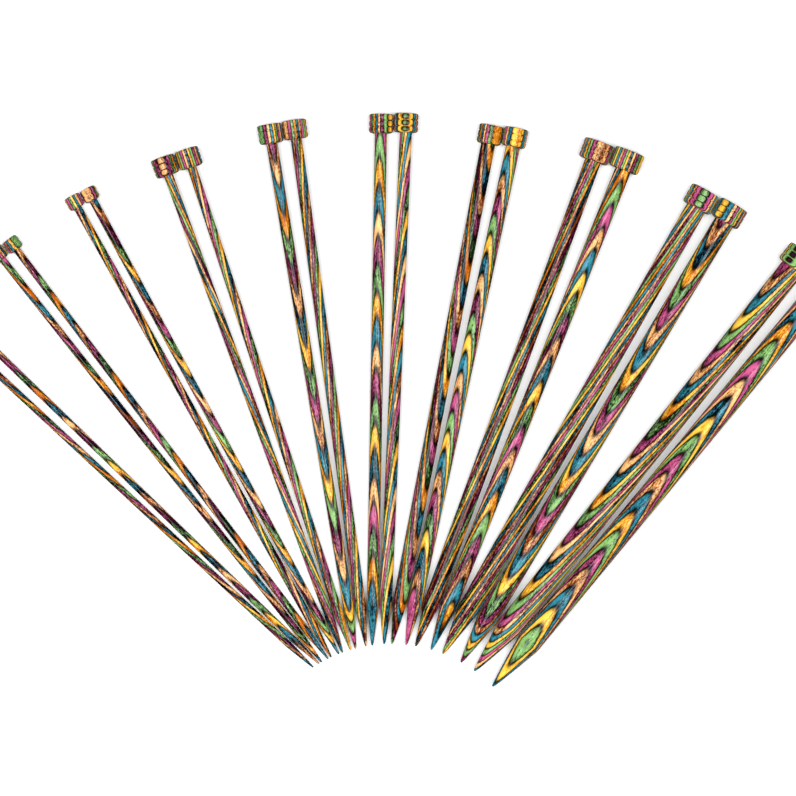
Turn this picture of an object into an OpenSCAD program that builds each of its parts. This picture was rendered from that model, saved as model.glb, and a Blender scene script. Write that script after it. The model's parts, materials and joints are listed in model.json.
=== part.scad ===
// Ten pairs of straight, single-pointed knitting needles, laid out as a fan on a flat surface.
// Each needle is a turned shaft with a tapered point and a grooved cap glued on its blunt end.
// +X runs across the fan from the thin pairs to the thick ones, +Y runs from the points towards
// the caps, the surface is Z = 0, and the origin is the centre of the fan's footprint.

/* [Gauges] */
// Diameter of both needles of pair 1
gauge_1 = 3.25; // [2:0.25:12]
// Diameter of both needles of pair 2
gauge_2 = 3.5; // [2:0.25:12]
// Diameter of both needles of pair 3
gauge_3 = 4; // [2:0.25:12]
// Diameter of both needles of pair 4
gauge_4 = 4.5; // [2:0.25:12]
// Diameter of both needles of pair 5
gauge_5 = 5.5; // [2:0.25:12]
// Diameter of both needles of pair 6
gauge_6 = 6; // [2:0.25:12]
// Diameter of both needles of pair 7
gauge_7 = 7; // [2:0.25:12]
// Diameter of both needles of pair 8
gauge_8 = 8; // [2:0.25:12]
// Diameter of both needles of pair 9
gauge_9 = 10; // [2:0.25:12]
// Diameter of both needles of pair 10
gauge_10 = 12; // [2:0.25:12]

/* [Shafts] */
// Length of both shafts of pair 1, from the point to the cap
length_1 = 252; // [230:0.5:350]
// Length of both shafts of pair 2, from the point to the cap
length_2 = 253; // [230:0.5:350]
// Length of both shafts of pair 3, from the point to the cap
length_3 = 254; // [230:0.5:350]
// Length of both shafts of pair 4, from the point to the cap
length_4 = 250; // [230:0.5:350]
// Length of both shafts of pair 5, from the point to the cap
length_5 = 252; // [230:0.5:350]
// Length of both shafts of pair 6, from the point to the cap
length_6 = 252; // [230:0.5:350]
// Length of both shafts of pair 7, from the point to the cap
length_7 = 250.5; // [230:0.5:350]
// Length of both shafts of pair 8, from the point to the cap
length_8 = 254; // [230:0.5:350]
// Length of both shafts of pair 9, from the point to the cap
length_9 = 252; // [230:0.5:350]
// Length of both shafts of pair 10, from the point to the cap
length_10 = 252; // [230:0.5:350]
// Length of the tapered point on a needle of no thickness
taper_base = 12.5; // [8:0.5:20]
// Extra taper length for each millimetre of diameter
taper_growth = 1.28; // [0.5:0.02:2]
// Radius of the blunt tip on a needle of no thickness
tip_base = 0.3; // [0.2:0.05:0.5]
// Extra tip radius for each millimetre of diameter
tip_growth = 0.025; // [0.01:0.005:0.04]
// How much the taper swells above a straight cone, 1 for a straight cone
taper_swell = 1.1; // [1:0.05:1.5]

/* [Caps] */
// Cap diameter on needles up to 4 mm
small_cap = 8; // [8:0.1:10]
// Cap diameter on needles up to 7 mm
medium_cap = 11.8; // [11:0.1:13]
// Cap diameter on needles up to 10 mm
large_cap = 15; // [14.5:0.1:18]
// Cap diameter on needles over 10 mm
widest_cap = 17; // [16.5:0.1:22]
// Length of the smallest cap
small_cap_length = 6.6; // [6:0.1:9]
// Length of the medium caps
medium_cap_length = 9.4; // [8:0.1:12]
// Length of the large caps
large_cap_length = 10; // [9:0.1:14]
// Depth of the grooves between a cap's beads
groove_depth = 0.4; // [0.2:0.05:0.6]
// Width of each groove
groove_width = 1.1; // [0.8:0.1:1.6]
// Rounding of the cap's edge next to the shaft
shoulder_round = 1.3; // [0.5:0.1:1.5]
// Rounding of the cap's outer edge
end_round = 0.8; // [0.4:0.1:1.5]
// Share of the cap's length that the shaft is glued into
seat_share = 0.62; // [0.4:0.01:0.8]

/* [Fan layout] */
// Direction of pair 1, in degrees from +Y towards +X
direction_1 = -46.5; // [-48:0.1:-45]
// Direction of pair 2
direction_2 = -37.8; // [-39:0.1:-36]
// Direction of pair 3
direction_3 = -28.9; // [-30:0.1:-28]
// Direction of pair 4
direction_4 = -19.1; // [-21:0.1:-18]
// Direction of pair 5
direction_5 = -8.6; // [-10:0.1:-7]
// Direction of pair 6
direction_6 = 1.7; // [0:0.1:3]
// Direction of pair 7
direction_7 = 11.5; // [10:0.1:13]
// Direction of pair 8
direction_8 = 20.9; // [19:0.1:22]
// Direction of pair 9
direction_9 = 30.2; // [29:0.1:32]
// Direction of pair 10
direction_10 = 38.9; // [38:0.1:41]
// Radius of the arc that the points lie on
tip_arc_radius = 70; // [60:1:90]
// Where the first point lies on that arc, in degrees from +Y towards +X
first_tip_angle = -33.3; // [-36:0.1:-30]
// Gap between neighbouring shafts where they come closest
shaft_gap = 0.33; // [0.3:0.01:0.6]
// Gap between the two caps of a pair
cap_gap = 0.5; // [0.4:0.1:2]

/* [Hidden] */
$fn = 72;

gauges = [gauge_1, gauge_2, gauge_3, gauge_4, gauge_5, gauge_6, gauge_7, gauge_8, gauge_9, gauge_10];
lengths = [
    length_1, length_2, length_3, length_4, length_5,
    length_6, length_7, length_8, length_9, length_10
];
directions = [
    direction_1, direction_2, direction_3, direction_4, direction_5,
    direction_6, direction_7, direction_8, direction_9, direction_10
];
count = 2 * len(gauges);
taper_steps = 10;
round_steps = 5;
cut_over = 1;

// The colours of the dyed veneers, in the order in which they repeat through the laminate
PLIES = ["orange", "steelblue", "sandybrown", "purple", "seagreen"];

function name(piece, i) = str(piece, i < 9 ? "_0" : "_", i + 1);

// Sizes of needle i
function gauge(i) = gauges[floor(i / 2)];
function shaft_length(i) = lengths[floor(i / 2)];
function taper(i) = taper_base + taper_growth * gauge(i);
function tip_radius(i) = tip_base + tip_growth * gauge(i);
function cap_diameter(i) =
    gauge(i) <= 4 ? small_cap :
    gauge(i) <= 7 ? medium_cap :
    gauge(i) <= 10 ? large_cap : widest_cap;
function cap_length(i) =
    gauge(i) <= 4 ? small_cap_length :
    gauge(i) <= 7 ? medium_cap_length : large_cap_length;
function groove_count(i) = gauge(i) <= 4 ? 1 : 2;
function seat_depth(i) = seat_share * cap_length(i);

// Profiles are [distance along the axis from the point, radius] pairs
function cone_radius(i, along) =
    let (rise = gauge(i) / 2 - tip_radius(i), part = min(1, along / taper(i)))
    tip_radius(i) + rise * (1 - pow(1 - part, taper_swell));

function shaft_profile(i) = [
    [0, 0],
    for (step = [1:round_steps])
        let (turn = 90 * step / round_steps)
        [tip_radius(i) * (1 - cos(turn)), tip_radius(i) * sin(turn)],
    for (step = [1:taper_steps])
        let (along = tip_radius(i) + (taper(i) - tip_radius(i)) * step / taper_steps)
        [along, cone_radius(i, along)],
    [shaft_length(i) + seat_depth(i), gauge(i) / 2],
    [shaft_length(i) + seat_depth(i), 0]
];

function groove_centre(i, k) = cap_length(i) * k / (groove_count(i) + 1);

function groove(centre, radius) = [
    for (step = [-2:2])
        [centre + groove_width * step / 4, radius - groove_depth * cos(45 * step)]
];

function cap_profile(i) = let (radius = cap_diameter(i) / 2, end = shaft_length(i) + cap_length(i)) [
    for (step = [0:round_steps])
        let (turn = 90 * step / round_steps)
        [
            shaft_length(i) + shoulder_round * (1 - cos(turn)),
            radius - shoulder_round * (1 - sin(turn))
        ],
    for (k = [1:groove_count(i)]) each groove(shaft_length(i) + groove_centre(i, k), radius),
    for (step = [0:round_steps])
        let (turn = 90 * step / round_steps)
        [end - end_round * (1 - sin(turn)), radius - end_round * (1 - cos(turn))]
];

// Directions: the two needles of a pair spread until their caps are cap_gap apart
function splay(i) =
    let (spread = cap_diameter(i) + cap_gap - gauge(i) - shaft_gap)
    asin(spread / (shaft_length(i) + cap_length(i) / 2 - taper(i)));
function direction(i) = directions[floor(i / 2)] + (i % 2 - 0.5) * splay(i);

// Points: neighbouring shafts come as close as shaft_gap where their tapers end
function width_at(i, along) = cone_radius(i, along) + cone_radius(i + 1, along);
function tip_step(i, tip_angle) =
    let (
        spread = sin(direction(i + 1) - direction(i)),
        skew = tip_angle - (direction(i) + direction(i + 1)) / 2,
        ends = [taper(i), taper(i + 1)],
        width = max([for (along = ends) width_at(i, along) - along * spread])
    )
    (width + shaft_gap) / cos(skew);
function next_angle(i, tip_angle) =
    tip_angle + tip_step(i, tip_angle) / tip_arc_radius * 180 / PI;
tip_angles = [
    for (
        i = 0, angle = first_tip_angle;
        i < count;
        angle = i < count - 1 ? next_angle(i, angle) : angle, i = i + 1
    ) angle
];

// Every needle lies on its cap's edge and on its shaft where the taper ends
function tilt(i) =
    let (rise = (cap_diameter(i) - gauge(i)) / 2)
    atan(rise / (shaft_length(i) + shoulder_round - taper(i)));
function outline(i) = concat(shaft_profile(i), cap_profile(i));
function rest_height(i) =
    -min([for (p = outline(i)) p[0] * sin(tilt(i)) - p[1] * cos(tilt(i))]);

// Footprint of the whole fan, which sets the origin
function axis(i) = [cos(tilt(i)) * sin(direction(i)), cos(tilt(i)) * cos(direction(i))];
function raw_tip(i) = tip_arc_radius * [sin(tip_angles[i]), cos(tip_angles[i])];
function reach(i, k, side) = [
    for (p = outline(i))
        raw_tip(i)[k] + p[0] * axis(i)[k] + side * p[1] * sqrt(1 - pow(axis(i)[k], 2))
];
function middle(k) =
    let (
        low = min([for (i = [0:count - 1]) min(reach(i, k, -1))]),
        high = max([for (i = [0:count - 1]) max(reach(i, k, 1))])
    )
    (low + high) / 2;
origin = [middle(0), middle(1)];

module lay_down(i) {
    tip = raw_tip(i) - origin;
    translate([tip[0], tip[1], rest_height(i)])
        rotate([0, 0, -direction(i)])
        rotate([tilt(i) - 90, 0, 0])
        children();
}

module turned(profile) {
    rotate_extrude()
        polygon([for (p = profile) [p[1], p[0]]]);
}

// One shaft: blunt tip, taper, and a plain end that runs on into the cap
module shaft(i) {
    color(PLIES[i % len(PLIES)])
        lay_down(i)
        turned(shaft_profile(i));
}

// One cap: a short turned cylinder with grooves between its beads and a blind bore for the shaft
module cap(i) {
    face = cap_profile(i)[0][0];
    end = shaft_length(i) + cap_length(i);
    color(PLIES[(i + 2) % len(PLIES)])
        lay_down(i)
        difference() {
            turned(concat([[face, 0]], cap_profile(i), [[end, 0]]));
            translate([0, 0, face - cut_over])
                cylinder(h = seat_depth(i) + cut_over, d = gauge(i));
        }
}

for (i = [0:count - 1]) {
    shaft(i);
    cap(i);
}
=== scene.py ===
import json
import math
from collections import namedtuple

import bmesh
import bpy
from mathutils import Matrix, Vector


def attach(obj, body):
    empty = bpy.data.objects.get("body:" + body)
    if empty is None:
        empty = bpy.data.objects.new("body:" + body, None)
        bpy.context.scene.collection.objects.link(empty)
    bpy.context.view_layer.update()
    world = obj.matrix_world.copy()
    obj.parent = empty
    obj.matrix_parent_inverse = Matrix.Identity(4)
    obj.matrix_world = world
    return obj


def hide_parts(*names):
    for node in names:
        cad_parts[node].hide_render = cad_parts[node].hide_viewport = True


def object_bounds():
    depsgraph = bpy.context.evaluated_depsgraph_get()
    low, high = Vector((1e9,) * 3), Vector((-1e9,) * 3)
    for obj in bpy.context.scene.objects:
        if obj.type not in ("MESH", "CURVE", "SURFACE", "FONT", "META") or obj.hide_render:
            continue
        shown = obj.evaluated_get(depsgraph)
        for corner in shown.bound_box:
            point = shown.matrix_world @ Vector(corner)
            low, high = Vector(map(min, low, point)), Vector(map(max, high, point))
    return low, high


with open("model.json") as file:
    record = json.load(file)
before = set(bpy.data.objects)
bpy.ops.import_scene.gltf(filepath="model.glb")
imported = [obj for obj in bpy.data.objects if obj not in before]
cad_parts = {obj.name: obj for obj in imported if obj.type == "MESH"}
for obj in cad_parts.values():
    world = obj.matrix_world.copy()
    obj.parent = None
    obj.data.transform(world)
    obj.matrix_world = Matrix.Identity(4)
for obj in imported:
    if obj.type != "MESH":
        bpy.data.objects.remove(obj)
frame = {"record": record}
cad_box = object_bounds()

MM = 0.001

# Turned shapes, the same driving sizes as the CAD
TAPER_BASE = 12.5 * MM
TAPER_GROWTH = 1.28
TIP_BASE = 0.3 * MM
TIP_GROWTH = 0.025
TAPER_SWELL = 1.1
SHOULDER_ROUND = 1.3 * MM
END_ROUND = 0.8 * MM
SEAT_SHARE = 0.62
SEAT_CLEARANCE = 0.02 * MM
SEAT_CHAMFER = 0.15 * MM
GROOVE_WIDTH = 0.7 * MM

# How finely the turned shapes are cut up
SEGMENTS = 72
TIP_STEPS = 8
TAPER_STEPS = 28
PLAIN_STEPS = 24
SHOULDER_STEPS = 10
SIDE_STEPS = 56
END_STEPS = 8
CREASE_ANGLE = math.radians(50)

# One row for each pair, from the left of the fan to the right
Pair = namedtuple("Pair", "gauge shaft_length cap_diameter cap_length grooves groove_depth crown")
PAIRS = [
    Pair(3.25 * MM, 252 * MM, 8.0 * MM, 6.6 * MM, 1, 0.30 * MM, 0.05 * MM),
    Pair(3.5 * MM, 253 * MM, 8.0 * MM, 6.6 * MM, 1, 0.30 * MM, 0.05 * MM),
    Pair(4.0 * MM, 254 * MM, 8.0 * MM, 6.6 * MM, 1, 0.30 * MM, 0.05 * MM),
    Pair(4.5 * MM, 250 * MM, 11.8 * MM, 9.4 * MM, 2, 0.35 * MM, 0.05 * MM),
    Pair(5.5 * MM, 252 * MM, 11.8 * MM, 9.4 * MM, 2, 0.35 * MM, 0.03 * MM),
    Pair(6.0 * MM, 252 * MM, 11.8 * MM, 9.4 * MM, 2, 0.50 * MM, 0.25 * MM),
    Pair(7.0 * MM, 250.5 * MM, 11.8 * MM, 9.4 * MM, 2, 0.32 * MM, 0.05 * MM),
    Pair(8.0 * MM, 254 * MM, 15.0 * MM, 10.0 * MM, 2, 0.32 * MM, 0.05 * MM),
    Pair(10.0 * MM, 252 * MM, 15.0 * MM, 10.0 * MM, 2, 0.32 * MM, 0.05 * MM),
    Pair(12.0 * MM, 252 * MM, 17.0 * MM, 10.0 * MM, 2, 0.35 * MM, 0.05 * MM),
]

# How the glued-up blank of each needle was turned before it went on the lathe. A roll is the direction
# that the plies' outer side faces, in degrees from straight up towards the needle's right, seen with the
# cap away from the viewer. crossed is how many plies the axis of the shaft cuts through in
# CROSSED_OVER, because the blanks are sawn at a slant, and start is where in the run of dyes it begins.
# paleness says how lightly the dyes took on the shaft, from 0 to 1.
# These rows aren't a design: roll, crossed and start of every shaft, and cap_roll and cap_start of most
# caps, are the rounded results of a separate program's search for the laminate that best matches the
# photograph.
Blank = namedtuple("Blank", "roll crossed start paleness cap_roll cap_start")
BLANKS = [
    Blank(70, 24.75, 1.0, 0.18, 300, 3.0),
    Blank(345, -23.5, 2.25, 0.25, 40, 1.0),
    Blank(215, -21.75, 2.0, 0.1, 290, 3.0),
    Blank(30, -25.25, 1.5, 0.1, 230, 2.6),
    Blank(255, 22.5, 0.0, 0.25, 90, 0.6),
    Blank(215, -23.75, 2.25, 0.37, 160, 0.5),
    Blank(95, 20.5, 1.25, 0.4, 170, 2.6),
    Blank(65, -19.75, 0.25, 0.35, 270, 1.2),
    Blank(5, 19.0, 2.25, 0.35, 300, 4.7),
    Blank(75, -19.0, 2.25, 0.47, 110, 2.0),
    Blank(350, -19.25, 1.0, 0.65, 55, 0.5),
    Blank(65, -22.0, 1.5, 0.6, 175, 4.75),
    Blank(225, -22.0, 4.75, 0.15, 40, 0.7),
    Blank(330, -25.25, 3.0, 0.6, 190, 0.2),
    Blank(80, -19.0, 2.0, 0.15, 200, 3.4),
    Blank(200, 21.5, 2.0, 0.45, 80, 4.5),
    Blank(90, -21.5, 0.25, 0.45, 0, 3.05),
    Blank(345, 21.25, 2.75, 0.4, 140, 1.9),
    Blank(310, 22.5, 1.25, 0.6, 150, 1.0),
    Blank(170, 20.75, 1.75, 0.68, 30, 2.0),
]

PLY = 1.2 * MM
CROSSED_OVER = 250 * MM
CAP_PALENESS = 0.62

# How far, in plies, a ply strays from its level
SHAFT_WANDER = 0.3
CAP_WANDER = 0.12

# Widths in plies and depths of the dark glue between plies and of the dye soaked in beside it
GLUE_LINE = 0.26
GLUE_DARKNESS = 0.97
SOAKED_LINE = 0.45
SOAKED_SHADE = 0.5

# Noises that follow the grain: cycles per metre across it and along it, octaves, and an offset that
# keeps them apart
Grain = namedtuple("Grain", "across along detail offset")
WAVE = Grain(200.0, 22.0, 1.0, 0.0)
FRAY = Grain(2600.0, 300.0, 2.0, 7.0)
STREAK = Grain(1300.0, 70.0, 3.0, 3.0)
CLOUD = Grain(330.0, 70.0, 2.0, 11.0)
SPECK = Grain(2400.0, 700.0, 2.0, 5.0)

# The range of a noise that counts; it rarely leaves it
NOISE_LOW = 0.3
NOISE_HIGH = 0.7

# How much each of them, and chance from ply to ply, changes how lightly the dye took
STREAK_TONE = 0.7
CLOUD_TONE = 0.6
SPECK_TONE = 0.95
CHANCE_TONE = 0.7

# Surface: how much each noise and the glue lines raise or sink it, and its gloss
STREAK_RELIEF = 0.6
SPECK_RELIEF = 0.4
GLUE_RELIEF = -0.25
BUMP_STRENGTH = 0.25
BUMP_DISTANCE = 0.04 * MM
SMOOTHEST = 0.42
ROUGHEST = 0.56
LACQUER_WEIGHT = 0.22
LACQUER_ROUGHNESS = 0.11

# Seeds: a step from needle to needle, and one from a shaft to its cap
NEEDLE_SEED = 13.7
CAP_SEED = 5.1

# The dyes in the order in which they repeat through the laminate, each where the grain took
# it deeply and where it stayed pale, as 0-255 screen colours
DYES = [
    ((176, 84, 0), (255, 202, 76)),
    ((0, 4, 20), (54, 138, 158)),
    ((110, 42, 12), (255, 194, 124)),
    ((54, 0, 26), (196, 88, 136)),
    ((0, 24, 4), (134, 182, 106)),
]

# Picture
VIEW_CENTRE = Vector((7.0 * MM, 0.95 * MM, 0.0))
VIEW_WIDTH = 392.2 * MM
CAMERA_HEIGHT = 2.2
SENSOR = 36.0

# Floor, backdrop and lights. The floor and the backdrop look brighter to the camera than the light
# that they throw on the needles.
FLOOR_REACH = 1.8
FLOOR_THROWN = 0.18
FLOOR_SEEN = 0.94
BACKDROP_THROWN = 0.13
BACKDROP_SEEN = 0.85
LEFT_SOFTBOX = (-0.80, -0.12, 2.4)
RIGHT_SOFTBOX = (0.70, -0.12, 2.4)
SOFTBOX_SIZE = 1.2
SOFTBOX_POWER = 54.0


def linear(colour):
    """A 0-255 screen colour as linear RGBA."""
    parts = [c / 255 for c in colour]
    return [c / 12.92 if c <= 0.04045 else ((c + 0.055) / 1.055) ** 2.4 for c in parts] + [1.0]


# ---------------------------------------------------------------- turned shapes

def arc(centre, radius, start, end, steps):
    """Points of a rounded edge as (along, radius) pairs, angles in degrees from the outward radius."""
    points = []
    for step in range(steps + 1):
        turn = math.radians(start + (end - start) * step / steps)
        points.append((centre[0] + radius * math.sin(turn), centre[1] + radius * math.cos(turn)))
    return points


def taper_length(gauge):
    return TAPER_BASE + TAPER_GROWTH * gauge


def cone_radius(gauge, along):
    """Radius of a shaft's long point at a distance from its tip."""
    tip = TIP_BASE + TIP_GROWTH * gauge
    part = min(1.0, along / taper_length(gauge))
    return tip + (gauge / 2 - tip) * (1 - (1 - part) ** TAPER_SWELL)


def shaft_profile(pair):
    """From the tip's pole, up the long point and along the plain shaft into the cap's seat."""
    tip = TIP_BASE + TIP_GROWTH * pair.gauge
    taper = taper_length(pair.gauge)
    points = arc((tip, 0.0), tip, -90, 0, TIP_STEPS)
    for step in range(1, TAPER_STEPS + 1):
        along = tip + (taper - tip) * step / TAPER_STEPS
        points.append((along, cone_radius(pair.gauge, along)))
    end = pair.shaft_length + SEAT_SHARE * pair.cap_length
    for step in range(1, PLAIN_STEPS + 1):
        points.append((taper + (end - taper) * step / PLAIN_STEPS, pair.gauge / 2))
    points.append((end, 0.0))
    return points


def bead_radius(pair, along):
    """Radius of the cap's side at a distance from its tip-side face: grooves with crowned beads between."""
    radius = pair.cap_diameter / 2
    pitch = pair.cap_length / (pair.grooves + 1)
    swing = abs(along / pitch - round(along / pitch))
    radius -= pair.crown * (1 - 2 * swing) ** 2
    for k in range(1, pair.grooves + 1):
        away = abs(along - k * pitch) / (GROOVE_WIDTH / 2)
        if away < 1:
            radius -= (pair.groove_depth - pair.crown) * math.cos(away * math.pi / 2)
    return radius


def cap_profile(pair):
    """From the bottom of the seat, out over the tip-side face, the beads and the end face."""
    seat = pair.shaft_length + SEAT_SHARE * pair.cap_length + SEAT_CLEARANCE
    bore = pair.gauge / 2 + SEAT_CLEARANCE
    face = pair.shaft_length
    end = pair.shaft_length + pair.cap_length
    points = [(seat, 0.0), (seat, bore), (face + SEAT_CHAMFER, bore), (face, bore + SEAT_CHAMFER)]
    low = bead_radius(pair, SHOULDER_ROUND)
    points += arc((face + SHOULDER_ROUND, low - SHOULDER_ROUND), SHOULDER_ROUND, -90, 0, SHOULDER_STEPS)
    side = pair.cap_length - SHOULDER_ROUND - END_ROUND
    for step in range(1, SIDE_STEPS):
        along = SHOULDER_ROUND + side * step / SIDE_STEPS
        points.append((face + along, bead_radius(pair, along)))
    high = bead_radius(pair, pair.cap_length - END_ROUND)
    points += arc((end - END_ROUND, high - END_ROUND), END_ROUND, 0, 90, END_STEPS)
    points.append((end, 0.0))
    return points


def turned(name, profile):
    """A closed solid of revolution about +Y from (along, radius) points, poles at both ends."""
    mesh = bmesh.new()
    rings = []
    for along, radius in profile:
        if radius < 1e-9:
            rings.append([mesh.verts.new((0.0, along, 0.0))])
            continue
        ring = []
        for k in range(SEGMENTS):
            turn = 2 * math.pi * k / SEGMENTS
            ring.append(mesh.verts.new((radius * math.sin(turn), along, radius * math.cos(turn))))
        rings.append(ring)
    for low, high in zip(rings, rings[1:]):
        for k in range(SEGMENTS):
            after = (k + 1) % SEGMENTS
            corners = [low[k % len(low)], low[after % len(low)], high[after % len(high)], high[k % len(high)]]
            mesh.faces.new(list(dict.fromkeys(corners)))
    bmesh.ops.recalc_face_normals(mesh, faces=mesh.faces)
    data = bpy.data.meshes.new(name)
    mesh.to_mesh(data)
    mesh.free()
    data.shade_smooth()
    data.set_sharp_from_angle(angle=CREASE_ANGLE)
    piece = bpy.data.objects.new(name, data)
    bpy.context.scene.collection.objects.link(piece)
    return piece


def resting_place(mount, pair):
    """Matrix from a needle's own frame (+Y from the point to the cap, +Z up) to the row frame."""
    along = Vector(mount["axis"]).normalized()
    tip = Vector(mount["pos_m"]) - along * (pair.shaft_length + pair.cap_length)
    right = along.cross(Vector((0, 0, 1))).normalized()
    up = right.cross(along)
    place = Matrix((right, along, up)).transposed().to_4x4()
    place.translation = tip
    return place


# ---------------------------------------------------------------- material

def add(tree, kind, inputs=None, **settings):
    """A new shader node; an input is a value or another node's output socket."""
    node = tree.nodes.new(kind)
    for key, value in settings.items():
        setattr(node, key, value)
    for key, value in (inputs or {}).items():
        if isinstance(value, bpy.types.NodeSocket):
            tree.links.new(value, node.inputs[key])
        else:
            node.inputs[key].default_value = value
    return node


def calc(tree, operation, *values):
    """The output of a math node; a value is a number or another node's output socket."""
    inputs = dict(enumerate(values))
    return add(tree, "ShaderNodeMath", inputs, operation=operation).outputs[0]


def fibres(tree, place, grain, seed):
    """Noise drawn out along the needle."""
    stretch = (grain.across, grain.along, grain.across)
    stretched = add(tree, "ShaderNodeVectorMath", {0: place, 1: stretch}, operation="MULTIPLY").outputs[0]
    move = (seed + grain.offset,) * 3
    moved = add(tree, "ShaderNodeVectorMath", {0: stretched, 1: move}, operation="ADD").outputs[0]
    noise = add(tree, "ShaderNodeTexNoise", {"Vector": moved, "Scale": 1.0, "Detail": grain.detail})
    return noise.outputs["Fac"]


def span(tree, value, low, high, new_low, new_high, smooth=True):
    """value carried from the range low to high over to the new range."""
    kind = "SMOOTHSTEP" if smooth else "LINEAR"
    inputs = {"Value": value, "From Min": low, "From Max": high, "To Min": new_low, "To Max": new_high}
    return add(tree, "ShaderNodeMapRange", inputs, interpolation_type=kind).outputs["Result"]


def add_tone(tree, tone, noise, amount):
    """tone made lighter or darker by up to half the amount, following a noise."""
    return calc(tree, "MULTIPLY_ADD", span(tree, noise, NOISE_LOW, NOISE_HIGH, -0.5, 0.5), amount, tone)


def dye_ramp(tree, position, shade):
    """The dyes as equal steps of one ramp: shade 0 where they took deeply, 1 where they stayed pale."""
    ramp = add(tree, "ShaderNodeValToRGB", {"Fac": position})
    ramp.color_ramp.interpolation = "CONSTANT"
    stops = ramp.color_ramp.elements
    while len(stops) < len(DYES):
        stops.new(0.5)
    for k, dye in enumerate(DYES):
        stops[k].position = k / len(DYES)
        stops[k].color = linear(dye[shade])
    return ramp.outputs["Color"]


def laminate(name, roll, crossed, start, paleness, wander, seed):
    """Dyed plies cut by the turned surface, with fibre grain, glue lines and a satin lacquer."""
    material = bpy.data.materials.new(name)
    material.use_nodes = True
    tree = material.node_tree
    tree.nodes.clear()
    place = add(tree, "ShaderNodeTexCoord").outputs["Object"]

    # Depth through the plies, counted in plies, with a slight wave and frayed cut fibres. The last step
    # takes out the mean of the two noises.
    turn = math.radians(roll)
    across = (math.sin(turn) / PLY, crossed / CROSSED_OVER, math.cos(turn) / PLY)
    depth = add(tree, "ShaderNodeVectorMath", {0: place, 1: across}, operation="DOT_PRODUCT").outputs["Value"]
    wave = fibres(tree, place, WAVE, seed)
    fray = fibres(tree, place, FRAY, seed)
    depth = calc(tree, "MULTIPLY_ADD", wave, wander, depth)
    depth = calc(tree, "MULTIPLY_ADD", fray, wander / 2, depth)
    depth = calc(tree, "ADD", depth, start - 0.75 * wander)
    ply = calc(tree, "FLOOR", depth)
    within = calc(tree, "FRACT", depth)
    step = calc(tree, "FLOORED_MODULO", ply, float(len(DYES)))
    position = calc(tree, "DIVIDE", calc(tree, "ADD", step, 0.5), float(len(DYES)))

    # How deeply the dye took: it differs from ply to ply and from fibre to fibre
    chance = add(tree, "ShaderNodeTexWhiteNoise", {"W": calc(tree, "ADD", ply, seed)}, noise_dimensions="1D")
    streak = fibres(tree, place, STREAK, seed)
    cloud = fibres(tree, place, CLOUD, seed)
    speck = fibres(tree, place, SPECK, seed)
    tone = add_tone(tree, paleness, streak, STREAK_TONE)
    tone = add_tone(tree, tone, cloud, CLOUD_TONE)
    tone = add_tone(tree, tone, speck, SPECK_TONE)
    luck = calc(tree, "SUBTRACT", chance.outputs["Value"], 0.5)
    tone = calc(tree, "MULTIPLY_ADD", luck, CHANCE_TONE, tone)
    tone = calc(tree, "MINIMUM", calc(tree, "MAXIMUM", tone, 0.0), 1.0)
    deep = dye_ramp(tree, position, 0)
    pale = dye_ramp(tree, position, 1)
    dyed = add(tree, "ShaderNodeMix", {"Factor": tone, 6: deep, 7: pale}, data_type="RGBA").outputs[2]

    # Dark glue between the plies, and darker dye beside it
    edge = calc(tree, "MINIMUM", within, calc(tree, "SUBTRACT", 1.0, within))
    glue = span(tree, edge, 0.0, GLUE_LINE, 1.0, 0.0)
    soaked = span(tree, edge, 0.0, SOAKED_LINE, SOAKED_SHADE, 1.0)
    shade = calc(tree, "MULTIPLY", calc(tree, "MULTIPLY_ADD", glue, -GLUE_DARKNESS, 1.0), soaked)
    colour = add(tree, "ShaderNodeVectorMath", {0: dyed, 3: shade}, operation="SCALE").outputs[0]

    # Fine grain and sunken glue lines in the surface
    relief = calc(tree, "MULTIPLY_ADD", streak, STREAK_RELIEF, calc(tree, "MULTIPLY", speck, SPECK_RELIEF))
    relief = calc(tree, "MULTIPLY_ADD", glue, GLUE_RELIEF, relief)
    inputs = {"Height": relief, "Strength": BUMP_STRENGTH, "Distance": BUMP_DISTANCE}
    bump = add(tree, "ShaderNodeBump", inputs)
    roughness = span(tree, speck, NOISE_LOW, NOISE_HIGH, SMOOTHEST, ROUGHEST)
    shader = add(tree, "ShaderNodeBsdfPrincipled", {
        "Base Color": colour,
        "Roughness": roughness,
        "Normal": bump.outputs[0],
        "Specular IOR Level": 0.0,
        "Coat Weight": LACQUER_WEIGHT,
        "Coat Roughness": LACQUER_ROUGHNESS,
    })
    output = add(tree, "ShaderNodeOutputMaterial")
    tree.links.new(shader.outputs[0], output.inputs["Surface"])
    return material


# ---------------------------------------------------------------- needles

def build_needle(number, pair, blank, mount):
    """One shaft and its cap, each standing for its CAD node and riding on the needle's body."""
    label = f"{number:02d}"
    place = resting_place(mount, pair)
    parts = [
        ("shaft", shaft_profile(pair), blank.roll, blank.crossed, blank.start, blank.paleness, SHAFT_WANDER),
        ("cap", cap_profile(pair), blank.cap_roll, 0.0, blank.cap_start, CAP_PALENESS, CAP_WANDER),
    ]
    for kind, profile, roll, crossed, start, paleness, wander in parts:
        node = f"{kind}_{label}"
        piece = turned(f"{node}_turned", profile)
        piece.matrix_world = place
        seed = number * NEEDLE_SEED + (CAP_SEED if kind == "cap" else 0.0)
        wood = laminate(f"{node}_laminate", roll, crossed, start, paleness, wander, seed)
        piece.data.materials.append(wood)
        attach(piece, f"needle_{label}")
        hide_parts(node)


mounts = {mount["name"]: mount for mount in frame["record"]["mounts"]}
for index, blank in enumerate(BLANKS):
    build_needle(index + 1, PAIRS[index // 2], blank, mounts[f"cap_end_{index + 1:02d}"])


# ---------------------------------------------------------------- stage, light and camera

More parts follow.
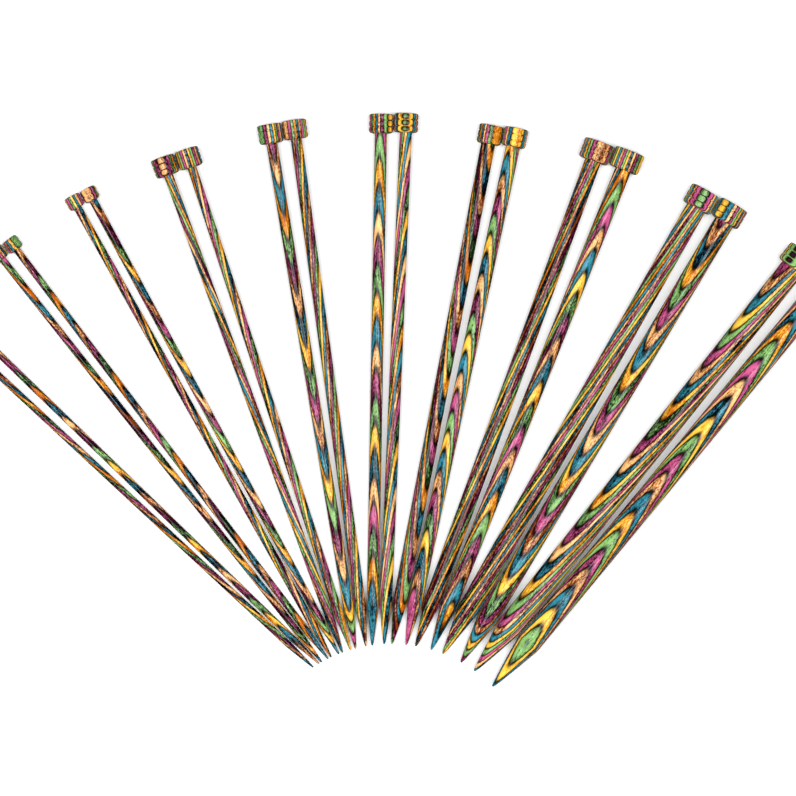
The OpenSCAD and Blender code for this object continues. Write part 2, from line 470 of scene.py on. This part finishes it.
def floor_material():
    """White paper that throws back less light than it shows, as if black cards stood round the needles."""
    material = bpy.data.materials.new("floor_white")
    material.use_nodes = True
    tree = material.node_tree
    tree.nodes.clear()
    seen = add(tree, "ShaderNodeLightPath").outputs["Is Camera Ray"]
    bright = span(tree, seen, 0.0, 1.0, FLOOR_THROWN, FLOOR_SEEN, smooth=False)
    paper = add(tree, "ShaderNodeCombineColor", {0: bright, 1: bright, 2: bright}).outputs[0]
    shader = add(tree, "ShaderNodeBsdfDiffuse", {"Color": paper})
    output = add(tree, "ShaderNodeOutputMaterial")
    tree.links.new(shader.outputs[0], output.inputs["Surface"])
    return material


def make_floor():
    mesh = bmesh.new()
    bmesh.ops.create_grid(mesh, x_segments=1, y_segments=1, size=FLOOR_REACH)
    data = bpy.data.meshes.new("floor")
    mesh.to_mesh(data)
    mesh.free()
    floor = bpy.data.objects.new("floor", data)
    floor.location.z = cad_box[0][2]
    bpy.context.scene.collection.objects.link(floor)
    data.materials.append(floor_material())


def make_softbox(name, position):
    lamp = bpy.data.lights.new(name, "AREA")
    lamp.shape = "DISK"
    lamp.size = SOFTBOX_SIZE
    lamp.energy = SOFTBOX_POWER
    light = bpy.data.objects.new(name, lamp)
    light.location = position
    light.rotation_euler = (VIEW_CENTRE - Vector(position)).to_track_quat("-Z", "Y").to_euler()
    light.visible_camera = False
    bpy.context.scene.collection.objects.link(light)


def make_camera():
    lens = bpy.data.cameras.new("camera")
    lens.sensor_width = SENSOR
    lens.lens = SENSOR * CAMERA_HEIGHT / VIEW_WIDTH
    camera = bpy.data.objects.new("camera", lens)
    camera.location = VIEW_CENTRE + Vector((0, 0, CAMERA_HEIGHT))
    bpy.context.scene.collection.objects.link(camera)
    bpy.context.scene.camera = camera


def make_world():
    world = bpy.data.worlds.new("studio")
    world.use_nodes = True
    tree = world.node_tree
    backdrop = tree.nodes["Background"]
    backdrop.inputs["Color"].default_value = (1.0, 1.0, 1.0, 1.0)
    seen = add(tree, "ShaderNodeLightPath").outputs["Is Camera Ray"]
    strength = span(tree, seen, 0.0, 1.0, BACKDROP_THROWN, BACKDROP_SEEN, smooth=False)
    tree.links.new(strength, backdrop.inputs["Strength"])
    bpy.context.scene.world = world
    bpy.context.scene.view_settings.view_transform = "Standard"


make_floor()
make_softbox("left_softbox", LEFT_SOFTBOX)
make_softbox("right_softbox", RIGHT_SOFTBOX)
make_camera()
make_world()
